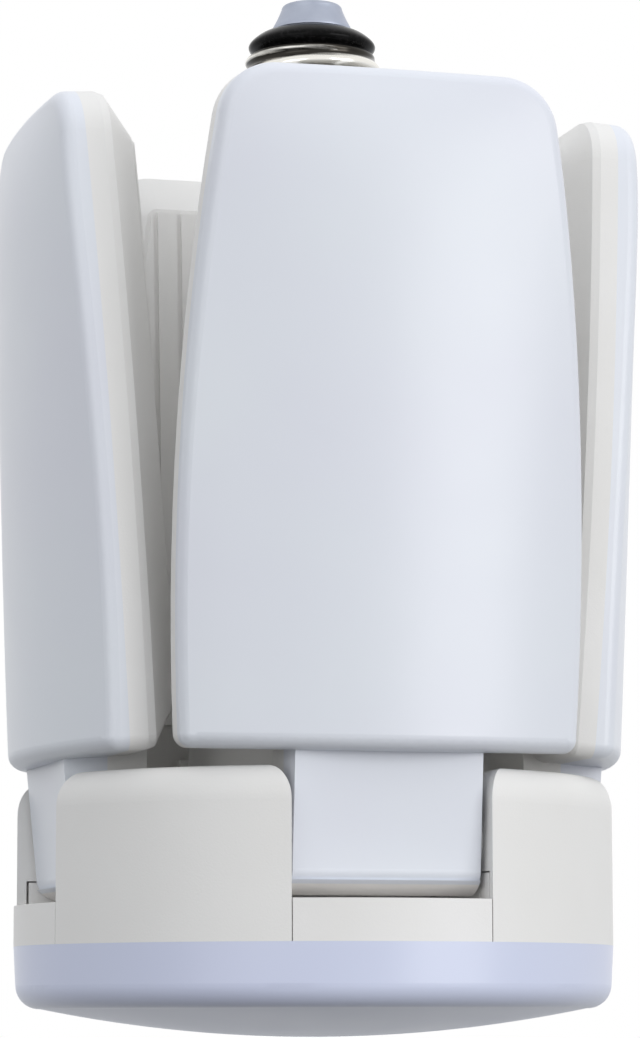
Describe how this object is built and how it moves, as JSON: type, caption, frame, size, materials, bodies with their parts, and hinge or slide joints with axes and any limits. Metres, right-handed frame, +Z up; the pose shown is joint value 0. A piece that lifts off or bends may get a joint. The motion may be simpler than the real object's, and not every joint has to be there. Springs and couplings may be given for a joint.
{
  "type": "foldable garage light",
  "caption": "Folding garage light: hinged leaf panels with milky covers stand folded around a screw-cap column on a round hub with a domed lower lamp.",
  "frame": {"origin": "middle of the top face of the screw cap's centre contact, where the lamp seats in its holder", "axes": "+Z up along the lamp's axis, out of the screw cap; -Y out of the front leaf's face; +X out of the right leaf's face"},
  "size_m": [0.1186, 0.1186, 0.1973],
  "materials": {
    "white_housing": "satin warm white moulding",
    "white_ring": "satin white moulding",
    "white_tray": "satin warm white moulding",
    "milky_cover": "milky, cool white, smooth",
    "milky_lens": "milky, cool white, smooth",
    "nickel_shell": "bright nickel",
    "contact_metal": "satin",
    "black_insulator": "glossy black",
    "circuit_board": "green laminate",
    "light_board": "white coated board",
    "light_chip": "yellow phosphor",
    "transformer_body": "wound and taped",
    "capacitor_can": "sleeved can",
    "ferrite": "painted ferrite ring",
    "screw_steel": "zinc plated",
    "pin_steel": "ground",
    "washer_nylon": "plain nylon"
  },
  "bodies": {
    "lamp_body": {"centre_contact": "contact_metal", "contact_insulator": "black_insulator", "screw_shell": "nickel_shell", "driver_column": "white_housing", "driver_board": "circuit_board", "driver_transformer": "transformer_body", "driver_capacitors": "capacitor_can", "driver_inductor": "ferrite", "driver_rectifier": "black_insulator", "hub_shell": "white_housing", "base_ring": "white_ring", "lower_led_board": "light_board", "lower_led_chips": "light_chip", "lower_diffuser": "milky_lens", "column_screws": "screw_steel", "base_ring_screws": "screw_steel", "lower_board_screws": "screw_steel", "front_hinge_pin": "pin_steel", "front_hinge_washers": "washer_nylon", "right_hinge_pin": "pin_steel", "right_hinge_washers": "washer_nylon", "back_hinge_pin": "pin_steel", "back_hinge_washers": "washer_nylon", "left_hinge_pin": "pin_steel", "left_hinge_washers": "washer_nylon"},
    "front_leaf": {"front_leaf_tray": "white_tray", "front_leaf_cover": "milky_cover", "front_leaf_led_board": "light_board", "front_leaf_led_chips": "light_chip", "front_leaf_board_screws": "screw_steel"},
    "right_leaf": {"right_leaf_tray": "white_tray", "right_leaf_cover": "milky_cover", "right_leaf_led_board": "light_board", "right_leaf_led_chips": "light_chip", "right_leaf_board_screws": "screw_steel"},
    "back_leaf": {"back_leaf_tray": "white_tray", "back_leaf_cover": "milky_cover", "back_leaf_led_board": "light_board", "back_leaf_led_chips": "light_chip", "back_leaf_board_screws": "screw_steel"},
    "left_leaf": {"left_leaf_tray": "white_tray", "left_leaf_cover": "milky_cover", "left_leaf_led_board": "light_board", "left_leaf_led_chips": "light_chip", "left_leaf_board_screws": "screw_steel"}
  },
  "joints": [
    {"name": "front_leaf_hinge", "type": "hinge", "parent": "lamp_body", "child": "front_leaf", "pos_m": [0, -0.0425, -0.1626], "axis": [1, 0, 0], "range_deg": [0, 90]},
    {"name": "right_leaf_hinge", "type": "hinge", "parent": "lamp_body", "child": "right_leaf", "pos_m": [0.0425, 0, -0.1626], "axis": [0, 1, 0], "range_deg": [0, 90]},
    {"name": "back_leaf_hinge", "type": "hinge", "parent": "lamp_body", "child": "back_leaf", "pos_m": [0, 0.0425, -0.1626], "axis": [-1, 0, 0], "range_deg": [0, 90]},
    {"name": "left_leaf_hinge", "type": "hinge", "parent": "lamp_body", "child": "left_leaf", "pos_m": [-0.0425, 0, -0.1626], "axis": [0, -1, 0], "range_deg": [0, 90]}
  ]
}
